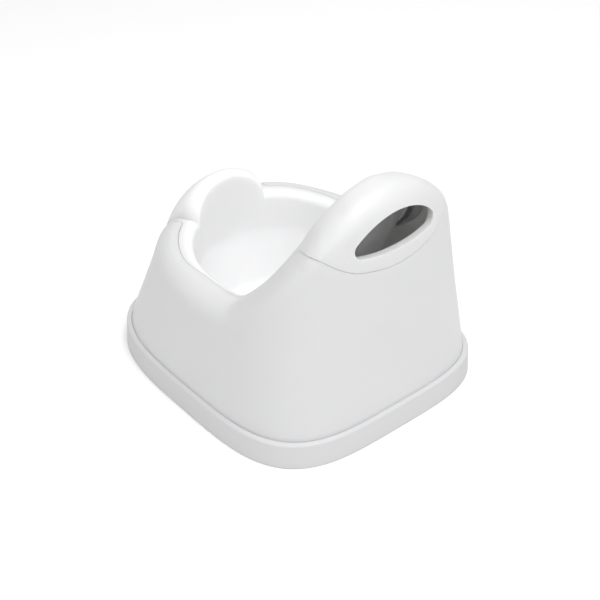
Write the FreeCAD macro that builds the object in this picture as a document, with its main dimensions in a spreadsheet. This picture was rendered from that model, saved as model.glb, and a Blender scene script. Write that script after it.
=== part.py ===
import FreeCAD, Part
import math
import os

import Sketcher
from FreeCAD import Placement, Rotation, Vector

# A toddler's potty chair in two mouldings. The outer shell stands on the floor on an anti-slip band.
# The inner pot drops into it: bowl, splash guard at the front and a high back with a hand slot.
# Frame: millimetres, +Z up, the user faces -Y, the middle of the floor outline is the origin.

doc = FreeCAD.newDocument("potty_chair")
sheet = doc.addObject("Spreadsheet::Sheet", "sizes")

SIZES = {
    # plan of the chair at four levels: half width, front and back reach, squareness of its corners
    "level_foot": 27, "level_seat": 125, "level_slot": 220, "level_top": 270,
    "half_width_foot": 134, "half_width_seat": 125, "half_width_slot": 114, "half_width_top": 108,
    "front_foot": -159.7, "front_seat": -129, "front_slot": -104, "front_top": -90,
    "back_foot": 159.7, "back_seat": 156, "back_slot": 151.5, "back_top": 149,
    "square_front_foot": 3.3, "square_front_seat": 2.55, "square_front_slot": 2.4,
    "square_front_top": 2.4,
    "square_back_foot": 3.75, "square_back_seat": 2.95, "square_back_slot": 2.6, "square_back_top": 2.5,
    "plan_taper": 0.089,
    # height of the rim, from the front round the side to the middle of the back
    "rim_front": 137, "rim_front_side": 133, "rim_side": 132, "rim_side_back": 135, "rim_rise": 159,
    "rim_back_corner": 197, "rim_shoulder": 236, "rim_crown": 254, "rim_top": 259,
    # section of the rim: outer roll, flat, inner roll
    "roll_out_front": 16, "roll_out_side": 19, "roll_out_back": 22,
    "flat_front": 8, "flat_side": 4, "roll_in_front": 11, "roll_in_side": 11, "roll_in_back": 18,
    # bowl: ellipses of its wall at the waist and at the floor
    "waist_level": 96, "waist_half_width": 84, "waist_front": -93, "waist_back": 82, "waist_radius": 60,
    "bowl_floor": 34, "bowl_half_width": 68, "bowl_front": -76, "bowl_back": 52, "bowl_radius": 26,
    "floor_run": 30,
    # splash guard: angle to each side of the middle, height over the rim, its thickness, its rolls,
    # and how many degrees sooner its inner face ends
    "guard_half_angle": 25.5, "guard_rise": 33, "guard_thickness": 24,
    "guard_roll_out": 15, "guard_roll_in": 6, "guard_inner_trim": 1.6,
    # mouldings
    "skin": 2.5, "seam_gap": 0.4, "ledge_gap": 0.7, "ledge_run": 8, "ledge_skin": 2.2,
    "seam_drop_back": 90, "seam_drop_front": 54, "seam_drop_guard": 31, "seam_rise_side": 7,
    # hand slot in the back of the pot
    "slot_top": 238.5, "slot_bottom": 199.5, "slot_top_radius": 66, "slot_bottom_radius": 230,
    "slot_end_radius": 9, "slot_near": 110, "slot_far": 170,
    "collar_depth": 7, "collar_skin": 2.2, "collar_bite": 1, "collar_below": 10, "collar_above": 20,
    # anti-slip band
    "band_half_width": 139.4, "band_half_depth": 165, "band_height": 27, "band_lean": 1.0,
    "band_sole": 2.5, "band_sole_width": 12, "band_top_radius": 2.4, "band_bottom_radius": 1.2,
}

for number, (alias, value) in enumerate(SIZES.items(), start=1):
    sheet.set("A%d" % number, alias.replace("_", " "))
    sheet.set("B%d" % number, str(value))
    sheet.setAlias("B%d" % number, alias)
doc.recompute()


def size(alias):
    """One driving dimension, read from the sheet."""
    return float(sheet.get(alias))


# ---------------------------------------------------------------------------------------------
# Plan and section of the chair
# ---------------------------------------------------------------------------------------------

def smooth(table, place, level_ends=False):
    """Value at a place between the entries of a {place: value} table, with no overshoot."""
    places = sorted(table)
    if place <= places[0]:
        return table[places[0]]
    if place >= places[-1]:
        return table[places[-1]]
    steps = [b - a for a, b in zip(places, places[1:])]
    slopes = [(table[b] - table[a]) / (b - a) for a, b in zip(places, places[1:])]
    tangents = [slopes[0]]
    for before, after in zip(slopes, slopes[1:]):
        flat = before * after <= 0
        tangents.append(0.0 if flat else 2 * before * after / (before + after))
    tangents.append(slopes[-1])
    if level_ends:
        tangents[0] = tangents[-1] = 0.0
    span = max(i for i, start in enumerate(places[:-1]) if start <= place)
    u = (place - places[span]) / steps[span]
    low, high = table[places[span]], table[places[span + 1]]
    run = steps[span]
    return ((1 + 2 * u) * (1 - u) ** 2 * low + u * (1 - u) ** 2 * run * tangents[span]
            + u * u * (3 - 2 * u) * high + u * u * (u - 1) * run * tangents[span + 1])


LEVELS = ("foot", "seat", "slot", "top")


def level_value(name, height):
    """A plan dimension at a height, between the four levels."""
    return smooth({size("level_" + level): size(name + "_" + level) for level in LEVELS}, height)


PLAN = {}


def plan(height):
    """Half width, front and back reach, and squareness of the front and back corners at a height."""
    key = round(height, 4)
    if key not in PLAN:
        names = ("half_width", "front", "back", "square_front", "square_back")
        PLAN[key] = [level_value(name, height) for name in names]
    return PLAN[key]


TAPER = size("plan_taper")


def outline_point(turn, inset, half_width, half_depth, square_front, square_back):
    """Point of a rounded, slightly tapered outline about the origin, an inset inside it."""
    c = math.cos(math.radians(turn))
    s = math.sin(math.radians(turn))
    square = square_front if s < 0 else square_back
    reach = (abs(c / half_width) ** square + abs(s / half_depth) ** square) ** (-1 / square)
    x = reach * c * (1 + TAPER * reach * s / half_depth)
    y = reach * s
    keep = 1 - inset / math.hypot(x, y)
    return Vector(x * keep, y * keep, 0)


def chair_point(turn, inset, height):
    """Point of the chair: turn in degrees (-90 front, 0 side, 90 back), inset from the outer wall."""
    half_width, front, back, square_front, square_back = plan(height)
    flat = outline_point(turn, inset, half_width, (back - front) / 2, square_front, square_back)
    return flat + Vector(0, (front + back) / 2, height)


def around(turn):
    """The same place on the +X side, as an angle from -90 (front) to 90 (back)."""
    c = abs(math.cos(math.radians(turn)))
    return math.degrees(math.atan2(math.sin(math.radians(turn)), c))


RIM_HEIGHT = {-90: size("rim_front"), -60: size("rim_front"), -30: size("rim_front_side"),
              0: size("rim_side"), 15: size("rim_side_back"), 30: size("rim_rise"),
              45: size("rim_back_corner"), 60: size("rim_shoulder"), 75: size("rim_crown"),
              90: size("rim_top")}
ROLL_OUT = {-90: size("roll_out_front"), 0: size("roll_out_side"), 90: size("roll_out_back")}
FLAT = {-90: size("flat_front"), 0: size("flat_side"), 90: size("flat_side")}
ROLL_IN = {-90: size("roll_in_front"), 0: size("roll_in_side"), 60: size("roll_in_back"),
           90: size("roll_in_back")}
BOWL_RINGS = (("waist_level", "waist_half_width", "waist_front", "waist_back"),
              ("bowl_floor", "bowl_half_width", "bowl_front", "bowl_back"))
# distance of the seam from the middle of the rim, measured over the outer roll and down the wall
BACK_DROP = size("seam_drop_back")
GUARD = size("guard_half_angle")
GUARD_END = GUARD - 90
SIDE_DROP = -size("seam_rise_side")
SEAM_DROP = {-90: size("seam_drop_front"), GUARD_END: size("seam_drop_guard"), GUARD_END + 3.5: 0,
             -35: 0, -10: SIDE_DROP, 47.5: SIDE_DROP, 51: 0.14 * BACK_DROP, 56.5: 0.36 * BACK_DROP,
             64: 0.64 * BACK_DROP, 73: 0.86 * BACK_DROP, 90: BACK_DROP}


# degrees to each side over which the slope of the seam is taken
SEAM_STEP = 0.5


class Section:
    """A path in the plane of inset and height: straight runs joined by tangent arcs."""

    def __init__(self, corners, radii):
        self.pieces = []
        start = corners[0]
        for before, corner, after, radius in zip(corners, corners[1:], corners[2:], radii):
            a = math.atan2(corner[1] - before[1], corner[0] - before[0])
            b = math.atan2(after[1] - corner[1], after[0] - corner[0])
            bend = (b - a + math.pi) % (2 * math.pi) - math.pi
            cut = radius * math.tan(abs(bend) / 2)
            arc_start = (corner[0] - cut * math.cos(a), corner[1] - cut * math.sin(a))
            self.add_run(start, arc_start, a)
            if radius > 0:
                self.pieces.append(("arc", arc_start, a, bend, radius, radius * abs(bend)))
            start = (corner[0] + cut * math.cos(b), corner[1] + cut * math.sin(b))
        a = math.atan2(corners[-1][1] - start[1], corners[-1][0] - start[0])
        self.add_run(start, corners[-1], a)
        self.length = sum(piece[-1] for piece in self.pieces)

    def add_run(self, start, end, heading):
        run = math.hypot(end[0] - start[0], end[1] - start[1])
        self.pieces.append(("run", start, heading, 0.0, 0.0, run))

    def at(self, distance, depth=0.0):
        """Inset and height at a distance along the path, a depth to its right hand."""
        left = min(max(distance, 0.0), self.length)
        for kind, start, heading, bend, radius, length in self.pieces:
            if left <= length or (kind, start) == self.pieces[-1][:2]:
                break
            left -= length
        if kind == "run":
            x = start[0] + left * math.cos(heading)
            z = start[1] + left * math.sin(heading)
        else:
            side = math.copysign(1.0, bend)
            turned = heading + side * left / radius
            x = start[0] + side * radius * (math.sin(turned) - math.sin(heading))
            z = start[1] - side * radius * (math.cos(turned) - math.cos(heading))
            heading = turned
        return x + depth * math.sin(heading), z - depth * math.cos(heading)


def rim(table, turn):
    """A dimension of the rim at a turn; both sides of the chair are alike."""
    return smooth(table, around(turn), level_ends=True)


def bowl_inset(turn, level, half_width, front, back):
    """Inset from the outer wall to an ellipse of the bowl at a level."""
    wall = chair_point(turn, 0, level)
    centre_y = (plan(level)[1] + plan(level)[2]) / 2
    middle_y = (front + back) / 2
    half_depth = (back - front) / 2
    run_x = wall.x / half_width
    run_y = (wall.y - centre_y) / half_depth
    start_y = (centre_y - middle_y) / half_depth
    a = run_x * run_x + run_y * run_y
    b = run_y * start_y
    reach = (-b + math.sqrt(b * b - a * (start_y * start_y - 1))) / a
    return (1 - reach) * math.hypot(wall.x, wall.y - centre_y)


def rim_middle(turn):
    """Inset of the middle of the rim and its distance along the section from the floor."""
    roll = rim(ROLL_OUT, turn)
    half_flat = rim(FLAT, turn) / 2
    along_roll = rim(RIM_HEIGHT, turn) - roll + roll * math.pi / 2
    return roll + half_flat, along_roll + half_flat


def seam(turn):
    """Distance of the seam along the section from the floor."""
    return rim_middle(turn)[1] - rim(SEAM_DROP, turn)


def lip(turn):
    """Distance of the shell's lip along the section: a gap short of the seam, square to the seam."""
    before, after = turn - SEAM_STEP, turn + SEAM_STEP
    level = rim(RIM_HEIGHT, turn)
    run = (chair_point(after, 0, level) - chair_point(before, 0, level)).Length
    slope = (seam(after) - seam(before)) / run
    return seam(turn) - size("seam_gap") * math.hypot(1, slope)


def guard_height(turn, half_angle, rise):
    """Height of the splash guard over the rim: half an ellipse round the front."""
    across = (around(turn) + 90) / half_angle
    return rise * math.sqrt(1 - across * across) if across < 1 - 1e-9 else 0.0


def section(turn, half_angle=GUARD, rise=0.0):
    """Section of the chair at a turn, up the outer wall, over the rim and down into the bowl."""
    lift = guard_height(turn, half_angle, rise)
    share = lift / rise if lift else 0.0
    height = rim(RIM_HEIGHT, turn) + lift
    roll_out = rim(ROLL_OUT, turn)
    roll_in = rim(ROLL_IN, turn)
    thickness = roll_out + rim(FLAT, turn) + roll_in
    roll_out += (size("guard_roll_out") - roll_out) * share
    roll_in += (size("guard_roll_in") - roll_in) * share
    thickness += (size("guard_thickness") - thickness) * share
    waist, floor = [bowl_inset(turn, *[size(name) for name in names]) for names in BOWL_RINGS]
    corners = [(0, 0), (0, height), (thickness, height), (waist, size("waist_level")),
               (floor, size("bowl_floor")), (floor + size("floor_run"), size("bowl_floor"))]
    return Section(corners, [roll_out, roll_in, size("waist_radius"), size("bowl_radius")])


# ---------------------------------------------------------------------------------------------
# Free-form skins
# ---------------------------------------------------------------------------------------------

def knots(count, closed):
    """Knots and multiplicities of a cubic spline with this many poles."""
    spans = count if closed else count - 3
    multiplicities = [1] * (spans + 1)
    if not closed:
        multiplicities[0] = multiplicities[-1] = 4
    return list(range(spans + 1)), multiplicities


def skin_face(rings, closed):
    """A smooth face through rows of poles: each ring runs round the chair."""
    if len(rings) == 2:
        first, last = rings
        rings = [[p + (q - p) * (k / 3) for p, q in zip(first, last)] for k in range(4)]
    around_knots, around_mults = knots(len(rings[0]), closed)
    along_knots, along_mults = knots(len(rings), False)
    poles = [[ring[i] for ring in rings] for i in range(len(rings[0]))]
    surface = Part.BSplineSurface()
    surface.buildFromPolesMultsKnots(poles, around_mults, along_mults, around_knots, along_knots,
                                     closed, False, 3, 3)
    return surface


def ring(turns, path, place, depth):
    """One ring of poles: at each turn, a place along its section at a depth under the skin."""
    return [chair_point(turn, *path(turn).at(place(turn), depth)) for turn in turns]


def steps(count):
    """Even steps from 0 to 1."""
    return [k / (count - 1) for k in range(count)]


def solid_from(surfaces, extra_faces=()):
    """Sew surfaces that share their edges into one solid."""
    faces = [surface.toShape() for surface in surfaces] + list(extra_faces)
    shell = Part.Shell(faces)
    shell.sewShape()
    solid = Part.Solid(shell)
    if solid.Volume < 0:
        solid.reverse()
    return solid


def feature(name, shape):
    """A document object that holds a computed shape."""
    item = doc.addObject("Part::Feature", name)
    item.Label = name
    item.Shape = shape
    item.Placement = Placement()
    return item


# ---------------------------------------------------------------------------------------------
# Outer shell: skirt, outer half of the rim and the ledge that carries the pot
# ---------------------------------------------------------------------------------------------

def half_turns():
    """Turns from the front to the back on one side, closer together where the seam crosses the rim."""
    turns = [-90.0]
    while turns[-1] < 89:
        by_guard = GUARD_END - 3 <= turns[-1] < GUARD_END + 7
        by_back = 45 <= turns[-1] < 57.5
        turns.append(turns[-1] + (0.5 if by_guard else 1.25 if by_back else 2.5))
    return turns


SIDE_TURNS = half_turns()
RING_TURNS = SIDE_TURNS[:-1] + [180 - turn for turn in reversed(SIDE_TURNS[1:])]
PLAIN = {turn: section(turn) for turn in RING_TURNS}
SKIN = size("skin")
# how many rings of poles make each surface
WALL_RINGS, LEDGE_RINGS, FLANGE_RINGS, LINING_RINGS, POT_RINGS, SLAB_RINGS = 46, 8, 12, 42, 96, 16
GUARD_STEPS, SLAB_STEPS, FOOT_STEPS = 41, 25, 144
EDGE = 2


def shell_rings(start, end, count, start_depth, end_depth):
    """Rings between two places given as functions of the turn, sliding from one depth to another."""
    rings = []
    for u in steps(count):
        depth = start_depth + (end_depth - start_depth) * u
        rings.append(ring(RING_TURNS, PLAIN.get, lambda turn: start(turn) * (1 - u) + end(turn) * u,
                          depth))
    return rings


def make_outer_shell():
    """The skirt: wall, lip at the seam, ledge under the pot's flange, flange and lining."""
    foot = lambda turn: size("band_sole")
    ledge_end = lambda turn: seam(turn) + size("ledge_run")
    joggle = lambda turn: lip(turn) - size("ledge_run")
    ledge_top = SKIN + size("ledge_gap")
    ledge_under = ledge_top + size("ledge_skin")
    groups = [
        shell_rings(foot, lip, WALL_RINGS, 0.0, 0.0),
        shell_rings(lip, lip, EDGE, 0.0, ledge_top),
        shell_rings(lip, ledge_end, LEDGE_RINGS, ledge_top, ledge_top),
        shell_rings(ledge_end, ledge_end, EDGE, ledge_top, ledge_under),
        shell_rings(ledge_end, joggle, FLANGE_RINGS, ledge_under, ledge_under),
        shell_rings(joggle, joggle, EDGE, ledge_under, SKIN),
        shell_rings(joggle, foot, LINING_RINGS, SKIN, SKIN),
        shell_rings(foot, foot, EDGE, SKIN, 0.0),
    ]
    return feature("outer_shell", solid_from([skin_face(rings, True) for rings in groups]))


# ---------------------------------------------------------------------------------------------
# Inner pot: bowl, splash guard, back with the hand slot
# ---------------------------------------------------------------------------------------------

MAIN_TURNS = [GUARD_END] + [turn for turn in RING_TURNS if GUARD_END + 0.6 < turn < 179.4 - GUARD_END]
MAIN_TURNS.append(180 - GUARD_END)
GUARD_TURNS = [-90 - GUARD * math.cos(math.pi * u) for u in steps(GUARD_STEPS)]


def pot_rings(turns, half_angle, rise, depth, count):
    """Rings of one side of the pot's skin, from the seam to the middle of the bowl's floor."""
    paths = {turn: section(turn, half_angle, rise) for turn in turns}
    rings = []
    for u in steps(count):
        rings.append(ring(turns, paths.get,
                          lambda turn: seam(turn) * (1 - u) + paths[turn].length * u, depth))
    return rings


def floor_disc(rings_by_part):
    """The flat face inside the last ring of the skins."""
    edges = [skin_face(rings, False).vIso(len(rings) - 3).toShape() for rings in rings_by_part]
    return Part.Face(Part.Wire(Part.__sortEdges__(edges)))


def make_pot_skin():
    """The pot without its slot: two faces a skin apart, closed round the seam."""
    inner_guard = GUARD - size("guard_inner_trim")
    surfaces = []
    discs = []
    sides = []
    for half_angle, rise, depth in ((GUARD, size("guard_rise"), 0.0),
                                    (inner_guard, size("guard_rise") - SKIN, SKIN)):
        parts = [pot_rings(turns, half_angle, rise, depth, POT_RINGS)
                 for turns in (MAIN_TURNS, GUARD_TURNS)]
        sides.append(parts)
        surfaces += [skin_face(rings, False) for rings in parts]
        discs.append(floor_disc(parts))
    for top, under in zip(*sides):
        surfaces.append(skin_face([top[0], under[0]], False))
    return feature("pot_skin", solid_from(surfaces, discs))


def origin_plane(body, role):
    return [item for item in body.Origin.OriginFeatures if item.Role == role][0]


def slot_outline(holder, name, offset):
    """Closed outline of the hand slot, on the plane that faces the user's back."""
    sketch = holder.newObject("Sketcher::SketchObject", name)
    sketch.AttachmentSupport = [(origin_plane(holder, "XZ_Plane"), "")]
    sketch.MapMode = "FlatFace"
    top = size("slot_top") + offset
    bottom = size("slot_bottom") - offset
    top_radius = size("slot_top_radius") + offset
    bottom_radius = size("slot_bottom_radius") + offset
    end_radius = size("slot_end_radius") + offset
    top_y = top - top_radius
    bottom_y = bottom + bottom_radius
    reach = (top_radius - end_radius) ** 2
    under_reach = (bottom_radius - end_radius) ** 2
    end_y = (under_reach - reach + top_y ** 2 - bottom_y ** 2) / (2 * (top_y - bottom_y))
    end_x = math.sqrt(reach - (end_y - top_y) ** 2)
    lean_top = math.atan2(end_y - top_y, end_x)
    lean_bottom = math.atan2(end_y - bottom_y, end_x)
    normal = Vector(0, 0, 1)

    def arc(x, y, radius, start, end):
        circle = Part.Circle(Vector(x, y, 0), normal, radius)
        return sketch.addGeometry(Part.ArcOfCircle(circle, start, end), False)

    over = arc(0, top_y, top_radius, lean_top, math.pi - lean_top)
    left = arc(-end_x, end_y, end_radius, math.pi - lean_top, math.pi - lean_bottom)
    under = arc(0, bottom_y, bottom_radius, math.pi - lean_bottom, 2 * math.pi + lean_bottom)
    right = arc(end_x, end_y, end_radius, lean_bottom, lean_top)
    start, end, centre = 1, 2, 3
    for first, second in ((over, left), (left, under), (under, right), (right, over)):
        sketch.addConstraint(Sketcher.Constraint("Tangent", first, end, second, start))
    sketch.addConstraint(Sketcher.Constraint("Equal", left, right))
    sketch.addConstraint(Sketcher.Constraint("PointOnObject", over, centre, -2))
    sketch.addConstraint(Sketcher.Constraint("PointOnObject", under, centre, -2))
    grow = "%+g" % offset if offset else ""
    for kind, items, value, formula in (
            ("Radius", (over,), top_radius, "sizes.slot_top_radius" + grow),
            ("Radius", (under,), bottom_radius, "sizes.slot_bottom_radius" + grow),
            ("Radius", (right,), end_radius, "sizes.slot_end_radius" + grow),
            ("DistanceY", (-1, 1, over, centre), top_y, "sizes.slot_top - sizes.slot_top_radius"),
            ("DistanceY", (-1, 1, under, centre), bottom_y,
             "sizes.slot_bottom + sizes.slot_bottom_radius")):
        index = sketch.addConstraint(Sketcher.Constraint(kind, *items, value))
        sketch.setExpression("Constraints[%d]" % index, "(%s) * 1mm" % formula)
    return sketch


def make_slot_body(name, offset, near, far):
    """A prism on the slot's outline between two distances behind the middle of the chair."""
    body = doc.addObject("PartDesign::Body", name)
    outline = slot_outline(body, name + "_outline", offset)
    outline.AttachmentOffset = Placement(Vector(0, 0, -size(near)), Rotation())
    outline.setExpression(".AttachmentOffset.Base.z", "-sizes.%s * 1mm" % near)
    pad = body.newObject("PartDesign::Pad", name + "_pad")
    pad.Profile = outline
    pad.Reversed = True
    pad.Length = size(far) - size(near)
    pad.setExpression("Length", "(sizes.%s - sizes.%s) * 1mm" % (far, near))
    return body


def make_collar_slab():
    """A slab just under the surface of the back, for the slot's collar."""
    turns = [60 + 60 * u for u in steps(SLAB_STEPS)]
    low = size("slot_bottom") - size("collar_below")

    def slab_rings(depth):
        rings = []
        for u in steps(SLAB_RINGS):
            high = lambda turn: rim_middle(turn)[1] - size("collar_above")
            rings.append(ring(turns, section, lambda turn: low * (1 - u) + high(turn) * u, depth))
        return rings

    outer, inner = slab_rings(size("collar_bite")), slab_rings(size("collar_depth"))
    surfaces = [skin_face(outer, False), skin_face(inner, False)]
    surfaces += [skin_face([outer[k], inner[k]], False) for k in (0, -1)]
    surfaces += [skin_face([[row[k] for row in outer], [row[k] for row in inner]], False)
                 for k in (0, -1)]
    return feature("collar_slab", solid_from(surfaces))


def boolean(kind, name, parts):
    """A Part boolean of document objects: a Cut takes a base and a tool, the others a list."""
    item = doc.addObject("Part::" + kind, name)
    if kind == "Cut":
        item.Base, item.Tool = parts
    else:
        item.Shapes = parts
    return item


def make_inner_pot():
    """The pot's skin with its hand slot and the collar that lines the slot."""
    collar_prism = make_slot_body("collar_prism", size("collar_skin"), "slot_near", "slot_far")
    slot_prism = make_slot_body("slot_prism", 0.0, "slot_near", "slot_far")
    collar = boolean("MultiCommon", "collar", [make_collar_slab(), collar_prism])
    whole = boolean("MultiFuse", "pot_with_collar", [make_pot_skin(), collar])
    pot = boolean("Cut", "inner_pot", [whole, slot_prism])
    pot.Label = "inner_pot"
    return pot


# ---------------------------------------------------------------------------------------------
# Foot band: soft anti-slip edging round the foot of the shell
# ---------------------------------------------------------------------------------------------

def plan_outline(body, name, half_width, half_depth, height, inset=0.0):
    """Closed outline of the chair's foot in a sketch at a height."""
    sketch = body.newObject("Sketcher::SketchObject", name)
    sketch.AttachmentSupport = [(origin_plane(body, "XY_Plane"), "")]
    sketch.MapMode = "FlatFace"
    sketch.AttachmentOffset = Placement(Vector(0, 0, size(height) if height else 0), Rotation())
    if height:
        sketch.setExpression(".AttachmentOffset.Base.z", "sizes.%s * 1mm" % height)
    squares = [size("square_front_foot"), size("square_back_foot")]
    turns = [360 * i / FOOT_STEPS for i in range(FOOT_STEPS)]
    points = [outline_point(turn, inset, half_width, half_depth, *squares) for turn in turns]
    curve = Part.BSplineCurve()
    curve.interpolate(points, PeriodicFlag=True)
    sketch.addGeometry(curve, False)
    return sketch


def make_foot_band():
    """The band: a lofted ring with a seat for the shell's edge, open in the middle."""
    body = doc.addObject("PartDesign::Body", "foot_band")
    body.Label = "foot_band"
    wide, deep = size("band_half_width"), size("band_half_depth")
    inner_wide, inner_deep = size("half_width_foot"), size("back_foot")
    outer = body.newObject("PartDesign::AdditiveLoft", "band_outside")
    outer.Profile = plan_outline(body, "band_foot", wide, deep, None)
    outer.Sections = [plan_outline(body, "band_top", wide, deep, "band_height", size("band_lean"))]
    doc.recompute()
    seat = body.newObject("PartDesign::Pocket", "shell_seat")
    seat.Profile = plan_outline(body, "shell_outline", inner_wide, inner_deep, "band_sole")
    seat.Type = "ThroughAll"
    seat.Reversed = True
    doc.recompute()
    through = body.newObject("PartDesign::Pocket", "open_middle")
    through.Profile = plan_outline(body, "sole_outline", inner_wide, inner_deep, None,
                                   size("band_sole_width"))
    through.Type = "ThroughAll"
    through.Reversed = True
    doc.recompute()
    rounded = through
    for name, level, radius in (("band_shoulder", size("band_height"), "band_top_radius"),
                                ("band_heel", 0.0, "band_bottom_radius")):
        level_edges = [(edge.Length, number) for number, edge in enumerate(rounded.Shape.Edges, start=1)
                       if edge.BoundBox.ZMin > level - 0.5 and edge.BoundBox.ZMax < level + 0.5]
        fillet = body.newObject("PartDesign::Fillet", name)
        fillet.Base = (rounded, ["Edge%d" % max(level_edges)[1]])
        fillet.setExpression("Radius", "sizes.%s * 1mm" % radius)
        doc.recompute()
        rounded = fillet
    return body


# ---------------------------------------------------------------------------------------------
# Build, check and write
# ---------------------------------------------------------------------------------------------

pieces = [make_foot_band(), make_outer_shell(), make_inner_pot()]
doc.recompute()

for item in doc.Objects:
    if {"Invalid", "Error"} & set(item.State):
        raise RuntimeError("%s failed: %s" % (item.Label, item.State))
for piece in pieces:
    shape = piece.Shape
    if shape.isNull() or not shape.isValid() or len(shape.Solids) != 1:
        raise RuntimeError("%s is not one valid solid" % piece.Label)

os.makedirs("parts", exist_ok=True)
for piece in pieces:
    piece.Shape.exportStep("parts/%s.step" % piece.Label)
    print(piece.Label, "%.1f cm3" % (piece.Shape.Volume / 1000), piece.Shape.BoundBox)
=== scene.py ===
# %% [markdown]
# # A toddler's potty chair
# The chair is two white mouldings and a soft edging: an outer shell, a pot that lifts out of it and
# a band round the foot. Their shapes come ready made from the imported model, so nothing is modelled
# here. What is left is what the eye reads as plastic and rubber: how each surface scatters light,
# how fine its grain is and where it is worn or wiped smooth. The model is loaded first, so that
# every later step can ask it where things are.

# %% Load the chair
import math

import bpy
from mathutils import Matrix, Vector


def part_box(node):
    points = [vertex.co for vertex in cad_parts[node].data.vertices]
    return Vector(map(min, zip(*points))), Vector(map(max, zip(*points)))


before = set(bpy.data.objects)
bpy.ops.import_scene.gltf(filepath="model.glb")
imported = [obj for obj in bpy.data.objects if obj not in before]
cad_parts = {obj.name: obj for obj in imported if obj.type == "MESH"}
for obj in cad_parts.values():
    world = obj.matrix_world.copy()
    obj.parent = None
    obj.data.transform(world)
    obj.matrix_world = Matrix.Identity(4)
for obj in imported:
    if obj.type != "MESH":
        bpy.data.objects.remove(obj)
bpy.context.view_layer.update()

# %% [markdown]
# ## A small language for shaders
# Every finish below is a sum of simple patterns. They could be wired node by node, but sums are
# easier to read as sums, so a socket is wrapped in a class that adds a Math node for each operator.
# The reflected forms let a plain number stand first, as in 1 - mask.


# %% Sockets that can be added and multiplied
class Value:
    """A number that varies over a surface, as the output socket of a node."""

    def __init__(self, finish, socket):
        self.finish = finish
        self.socket = socket

    def calculate(self, operation, *values, clamp=False):
        settings = {"operation": operation, "use_clamp": clamp}
        return self.finish.node("ShaderNodeMath", settings, dict(enumerate(values)))

    def __add__(self, other):
        return self.calculate("ADD", self, other)

    def __sub__(self, other):
        return self.calculate("SUBTRACT", self, other)

    def __mul__(self, other):
        return self.calculate("MULTIPLY", self, other)

    def __rsub__(self, other):
        return self.calculate("SUBTRACT", other, self)

    __radd__ = __add__
    __rmul__ = __mul__

    def clamped(self):
        return self.calculate("ADD", self, 0.0, clamp=True)


print("a Value can be added, subtracted, multiplied and clamped")

# %% [markdown]
# ## A finish and its patterns
# A finish is one material with a short list of things that can be drawn on it: noise, a ramp, a
# coordinate, a mix of two colours and a bump. Each could be a loose function, but a class keeps the
# node tree and the place on the surface together. Object coordinates are used, so a pattern is the
# same size in metres on every part. Colours don't go through Math nodes, which would turn them
# grey, so a Mix node mixes them. Its sockets share their names, so the colour ones are asked for by
# number.

# %% A finish
FIRST_COLOUR, SECOND_COLOUR, MIXED_COLOUR = 6, 7, 2


class Finish:
    """One material and the ways to add nodes to it."""

    def __init__(self, name):
        self.material = bpy.data.materials.new(name)
        self.material.use_nodes = True
        self.tree = self.material.node_tree
        self.shader = self.tree.nodes["Principled BSDF"]
        self.place = self.node("ShaderNodeTexCoord", {}, {}, "Object")

    def node(self, kind, settings, inputs, output=0):
        """Add a node: its settings first, then the values or links of its inputs."""
        made = self.tree.nodes.new(kind)
        for setting, value in settings.items():
            setattr(made, setting, value)
        for key, value in inputs.items():
            self.set(made.inputs[key], value)
        return Value(self, made.outputs[output])

    def set(self, socket, value):
        if isinstance(value, Value):
            self.tree.links.new(value.socket, socket)
        else:
            socket.default_value = value

    def surface(self, **sockets):
        """Set the shader's own inputs, written with _ for a space."""
        for name, value in sockets.items():
            self.set(self.shader.inputs[name.replace("_", " ")], value)

    def noise(self, per_metre, detail=3.0, roughness=0.5):
        inputs = {"Vector": self.place, "Scale": per_metre,
                  "Detail": detail, "Roughness": roughness}
        return self.node("ShaderNodeTexNoise", {}, inputs, "Fac")

    def ramp(self, value, low, high):
        """0 below low, 1 above high and a smooth step between."""
        settings = {"interpolation_type": "SMOOTHSTEP"}
        inputs = {"Value": value, "From Min": low, "From Max": high}
        return self.node("ShaderNodeMapRange", settings, inputs)

    def mix(self, share, first, second):
        inputs = {"Factor": share, FIRST_COLOUR: first, SECOND_COLOUR: second}
        return self.node("ShaderNodeMix", {"data_type": "RGBA"}, inputs, MIXED_COLOUR)

    def part(self, axis):
        """One coordinate of the place, in metres. Z is the height above the floor."""
        return self.node("ShaderNodeSeparateXYZ", {}, {"Vector": self.place}, axis)

    def bump(self, height, strength, distance):
        inputs = {"Height": height, "Strength": strength, "Distance": distance}
        return self.node("ShaderNodeBump", {}, inputs, "Normal")


print("a Finish draws noise, ramps, mixes and bumps, in metres")

# %% [markdown]
# ## The plastic that both mouldings share
# The shell and the pot are moulded from one white plastic. Each could have its own copy of these
# values, but they would drift apart, so what is the same all over is kept in one place: how much
# the surface bends light, and the light that sinks into the wall and comes out nearby, which
# softens the edges. The grain is the mould's light etching, well under a millimetre across.

# %% White plastic
PLASTIC = {
    "IOR": 1.49,
    "Subsurface_Weight": 0.3,
    "Subsurface_Radius": (1.0, 0.98, 0.95),
    "Subsurface_Scale": 0.012,
}
GRAIN_PER_METRE = 1700
GRAIN_DEPTH = 0.0004


def etched_grain(finish):
    """The fine, even grain that an etched mould leaves."""
    return finish.noise(GRAIN_PER_METRE, 2.0, 0.6)


print("the grain is", round(1000 / GRAIN_PER_METRE, 2), "mm across")

# %% [markdown]
# ## The shell
# The skirt comes from the etched mould, so it is satin and not glossy: a broad highlight, broken up
# by the grain. Over a palm's width the white is never quite even, because thick places cool slowly.
# Painting it by hand would take long and show its strokes, so a cloudy noise gives it. Shoes and
# floor cloths leave the lowest few centimetres a little duller, which is a finer noise that a ramp
# on height keeps low.

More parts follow.
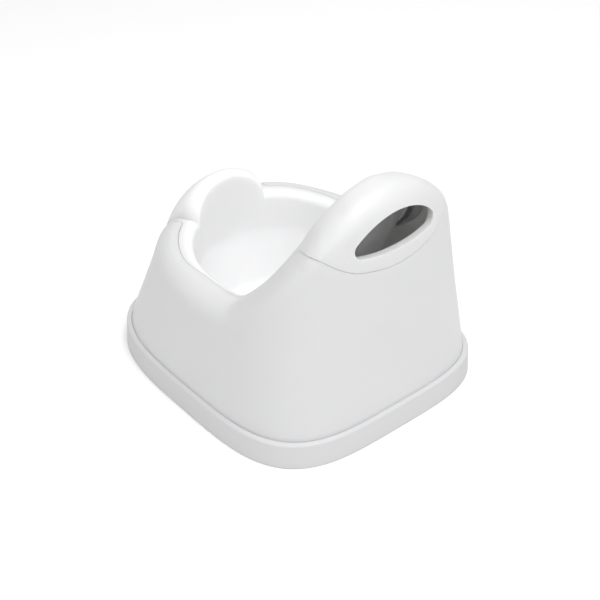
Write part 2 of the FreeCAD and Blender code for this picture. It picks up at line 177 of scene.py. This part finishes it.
# %% Satin white for the shell
SHELL_WHITE = (0.675, 0.675, 0.68, 1)
SHELL_SHADE = (0.645, 0.645, 0.654, 1)
SHELL_CLOUDS_PER_METRE = 14.0
SCUFFS_PER_METRE = 160.0
SCUFF_EDGE = (0.62, 0.72)
SCUFFED_BELOW, CLEAN_ABOVE = 0.03, 0.09
SATIN = 0.40

shell = Finish("shell_plastic_finish")
cloud = shell.noise(SHELL_CLOUDS_PER_METRE, 2.0)
grain = etched_grain(shell)
scuffs = shell.ramp(shell.noise(SCUFFS_PER_METRE, 6.0, 0.7), *SCUFF_EDGE)
low_down = 1 - shell.ramp(shell.part("Z"), SCUFFED_BELOW, CLEAN_ABOVE)
shade = cloud * 0.5 + scuffs * low_down * 0.35
shell.surface(
    Base_Color=shell.mix(shade.clamped(), SHELL_WHITE, SHELL_SHADE),
    Roughness=(SATIN + cloud * 0.06 + grain * 0.05 + scuffs * low_down * 0.12).clamped(),
    Normal=shell.bump(grain, 0.12, GRAIN_DEPTH),
    **PLASTIC,
)
print("the shell is scuffed below", CLEAN_ABOVE, "m")

# %% [markdown]
# ## The pot
# The pot is the same plastic, but the inside of the bowl is polished so that it wipes clean, and
# the seat gets polished by use. Two materials with a border between them would show a line, so one
# ramp on height makes it smoother towards the bottom, and the grain fades with it, since a polished
# mould has no etching. An ellipse round the bowl is painted a clearly lighter white than the
# outside: painted light, for the light that falls into the bowl from above. That white was chosen
# to bring the bowl nearer to the brightness of a real one, and it still comes out a little darker.
# With the polished end at 0.24 and stronger noise, a ragged ring showed round the bowl's floor from
# above. At 0.34 with gentler noise it doesn't.

# %% Wiped-smooth white for the pot, painted lighter in the bowl
POT_WHITE = (0.70, 0.70, 0.705, 1)
# The lighter white below is painted light, for the light that falls into the bowl from above.
BOWL_PAINTED_LIGHT_WHITE = (0.88, 0.88, 0.883, 1)
POT_CLOUDS_PER_METRE = 16.0
WIPES_PER_METRE = 38.0
POLISHED = 0.34
POT_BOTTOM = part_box("inner_pot")[0][2]
BOWL_TOP = POT_BOTTOM + 0.095
PAINTED_LIGHT_REACH = (0.105, 0.118)
PAINTED_LIGHT_EDGE = (0.72, 1.0)

pot = Finish("pot_plastic_finish")
cloud = pot.noise(POT_CLOUDS_PER_METRE, 2.0)
grain = etched_grain(pot)
etched = pot.ramp(pot.part("Z"), POT_BOTTOM, BOWL_TOP)
wiped = pot.noise(WIPES_PER_METRE, 4.0, 0.55)
# An ellipse round the bowl, painted lighter as painted light from above.
across = pot.part("X") * (1 / PAINTED_LIGHT_REACH[0])
along = pot.part("Y") * (1 / PAINTED_LIGHT_REACH[1])
bowl_painted_light = 1 - pot.ramp(across * across + along * along, *PAINTED_LIGHT_EDGE)
pot.surface(
    Base_Color=pot.mix((bowl_painted_light - cloud * 0.12).clamped(), POT_WHITE, BOWL_PAINTED_LIGHT_WHITE),
    Roughness=(POLISHED + etched * 0.07 + wiped * 0.04 + grain * etched * 0.03).clamped(),
    Normal=pot.bump(grain * etched, 0.10, GRAIN_DEPTH),
    **PLASTIC,
)
print("the pot is smoothest at", round(POT_BOTTOM, 3), "m and etched above", round(BOWL_TOP, 3))

# %% [markdown]
# ## The band
# The edging is a soft elastomer round the shell's foot. It has little gloss, and its stipple is
# coarser than the plastic's grain. It could share the plastic's finish in a duller version, but
# then it would also glow softly at its edges as the plastic does, so it has its own. Where it meets
# the floor its colour turns a darker grey, in patches.

# %% Matt white rubber for the band
BAND_WHITE = (0.60, 0.60, 0.607, 1)
# A darker grey for the lowest part of the band, next to the floor.
BAND_LOW_GREY = (0.555, 0.55, 0.545, 1)
STIPPLE_PER_METRE = 1100.0
PATCHES_PER_METRE = 55.0
MATT = 0.58
BAND_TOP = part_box("foot_band")[1][2]
DARKER_SHARE = 0.35

band = Finish("band_rubber_finish")
stipple = band.noise(STIPPLE_PER_METRE, 3.0, 0.6)
patches = band.noise(PATCHES_PER_METRE, 4.0, 0.6)
# Darker towards the floor, in patches.
near_floor = 1 - band.ramp(band.part("Z"), 0.0, DARKER_SHARE * BAND_TOP)
band.surface(
    Base_Color=band.mix((near_floor * patches * 0.6).clamped(), BAND_WHITE, BAND_LOW_GREY),
    Roughness=(MATT + patches * 0.10 + stipple * 0.06).clamped(),
    Normal=band.bump(stipple, 0.16, GRAIN_DEPTH),
    IOR=1.46,
)
print("the band is", round(1000 * BAND_TOP, 1), "mm high")

# %% [markdown]
# ## Putting the finishes on
# Each part of the chair keeps its own mesh and gets one finish. New material slots could be added
# beside the old ones, but then every triangle would have to be told which to wear, so the list is
# emptied first and the finish is its only slot.

# %% Dress the nodes
for node, finish in (("outer_shell", shell), ("inner_pot", pot), ("foot_band", band)):
    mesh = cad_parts[node].data
    mesh.materials.clear()
    mesh.materials.append(finish.material)
    print(node, "has", len(mesh.polygons), "triangles and wears", finish.material.name)

# %% [markdown]
# ## The floor
# The chair stands on a wide sheet of pale paper. A curved backdrop would hide the horizon too, but
# from above only the floor is seen, so a flat one is enough.

# %% Pale floor
FLOOR_REACH = 12.0
PAPER_WHITE = (0.95, 0.95, 0.95, 1)
PAPER_SHADE = (0.93, 0.93, 0.93, 1)
FIBRES_PER_METRE = 9.0

bpy.ops.object.select_all(action="DESELECT")
bpy.ops.mesh.primitive_plane_add(size=2 * FLOOR_REACH, location=(0, 0, 0))
floor = bpy.context.object
floor.name = "studio_floor"
paper = Finish("floor_paper")
fibres = paper.noise(FIBRES_PER_METRE, 3.0)
paper.surface(
    Base_Color=paper.mix((fibres * 0.4).clamped(), PAPER_WHITE, PAPER_SHADE),
    Roughness=0.95,
)
floor.data.materials.append(paper.material)
print("floor is", 2 * FLOOR_REACH, "m across")

# %% [markdown]
# ## The light
# A white object on a white floor is read by its soft shadows alone. Hard lamps would draw sharp
# ones, so an even sky fills everything, and one large lamp above and behind the chair's back gives
# the rim its highlight, the bowl its brightness and the skirt its slow change of tone. A weak
# second lamp, lower and over the chair's shoulder, lifts the inside of the hand slot a little,
# which still stays darker than on a real chair.


# %% Sky and lamps
def lamp(name, place, aim, size, watts):
    """A square soft lamp that faces a point."""
    data = bpy.data.lights.new(name, "AREA")
    data.size = size
    data.energy = watts
    item = bpy.data.objects.new(name, data)
    bpy.context.scene.collection.objects.link(item)
    item.location = place
    item.rotation_mode = "QUATERNION"
    item.rotation_quaternion = (Vector(aim) - Vector(place)).to_track_quat("-Z", "Y")
    print(name, "is", size, "m wide and gives", watts, "W")


SKY_WHITE = (1, 1, 1, 1)
SKY_STRENGTH = 0.60
CHAIR_MIDDLE = (0, 0, 0.1)
SLOT_MIDDLE = (0, 0.1, 0.2)

world = bpy.data.worlds.new("studio_sky")
world.use_nodes = True
sky = world.node_tree.nodes["Background"]
sky.inputs["Color"].default_value = SKY_WHITE
sky.inputs["Strength"].default_value = SKY_STRENGTH
bpy.context.scene.world = world
lamp("overhead", (0.12, 0.65, 2.4), CHAIR_MIDDLE, size=1.9, watts=45)
lamp("over_shoulder", (1.15, 1.36, 1.29), SLOT_MIDDLE, size=0.9, watts=5)
bpy.context.scene.view_settings.view_transform = "Standard"
print("sky strength", SKY_STRENGTH)

# %% [markdown]
# ## The camera
# The chair is seen from behind its left shoulder and from above. A wide lens close by would make
# the skirt's sides flare, so a long one stands further off and keeps them nearly parallel. It is
# aimed a little below the chair's middle.

# %% Camera
AZIMUTH = math.radians(138.5)
ELEVATION = math.radians(36.0)
DISTANCE = 1.6533
AIM = Vector((-0.0313, -0.0151, 0.0442))
LENS_MM, SENSOR_MM = 96, 36

level = math.cos(ELEVATION)
out = Vector((math.sin(AZIMUTH) * level, -math.cos(AZIMUTH) * level, math.sin(ELEVATION)))
camera_data = bpy.data.cameras.new("camera")
camera_data.lens = LENS_MM
camera_data.sensor_width = SENSOR_MM
camera = bpy.data.objects.new("camera", camera_data)
bpy.context.scene.collection.objects.link(camera)
camera.location = out * DISTANCE
camera.rotation_mode = "QUATERNION"
camera.rotation_quaternion = (AIM - camera.location).to_track_quat("-Z", "Y")
bpy.context.scene.camera = camera
print("camera at", [round(v, 3) for v in camera.location])
